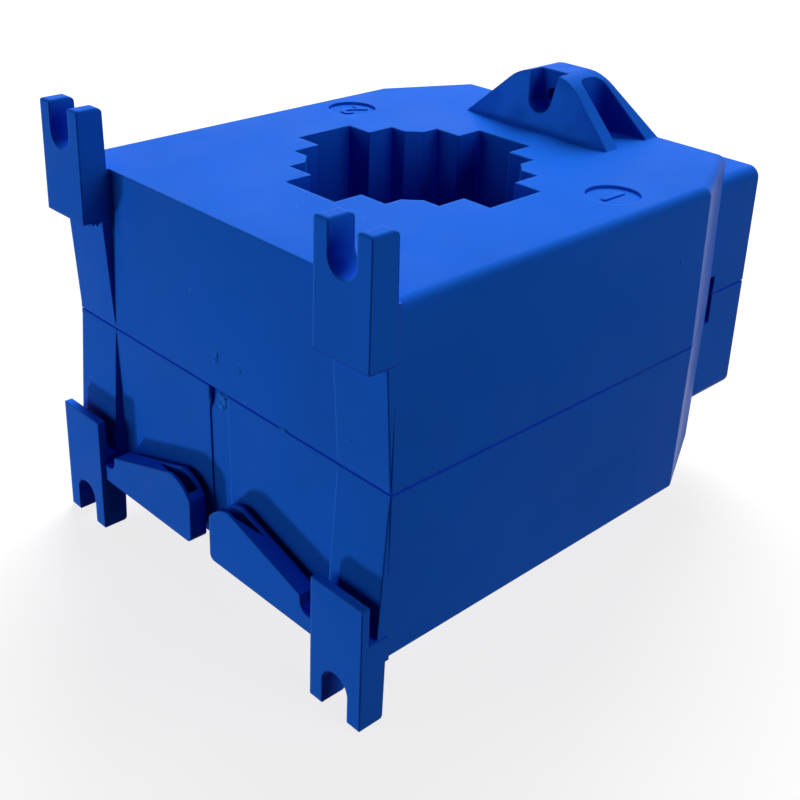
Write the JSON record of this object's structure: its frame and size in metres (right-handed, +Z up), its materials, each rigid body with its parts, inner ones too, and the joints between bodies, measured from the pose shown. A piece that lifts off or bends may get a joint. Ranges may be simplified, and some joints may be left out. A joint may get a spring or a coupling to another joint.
{
  "type": "current transformer",
  "caption": "Window current transformer: a moulded housing with a stepped opening for a busbar or cable, forked feet, spring arms and screw terminals round a wound ring core.",
  "frame": {"origin": "centre of the footprint, on the plane of the lower fork tips and the lower lug", "axes": "+Z up along the window, +X along the width of the base face, +Y from the forked base face to the terminal box"},
  "size_m": [0.071, 0.0966, 0.0696],
  "materials": {
    "housing": "satin moulded",
    "core_steel": "wound strip",
    "board": "pressed board",
    "inner_tape": "film tape",
    "copper": "enamelled",
    "outer_tape": "film tape",
    "foam": "matt",
    "sleeve": "matt",
    "terminal_brass": "tinned",
    "solder": "bright",
    "zinc_steel": "zinc plated"
  },
  "bodies": {
    "root": {"upper_shell": "housing", "lower_shell": "housing", "core": "core_steel", "upper_end_ring": "board", "lower_end_ring": "board", "core_tape": "inner_tape", "winding": "copper", "outer_tape": "outer_tape", "upper_cushion": "foam", "lower_cushion": "foam", "right_lead": "copper", "left_lead": "copper", "right_sleeve": "sleeve", "left_sleeve": "sleeve", "right_terminal": "terminal_brass", "left_terminal": "terminal_brass", "solder_joints": "solder", "clamp_washers": "zinc_steel", "terminal_screws": "zinc_steel", "terminal_nuts": "zinc_steel"}
  },
  "joints": []
}
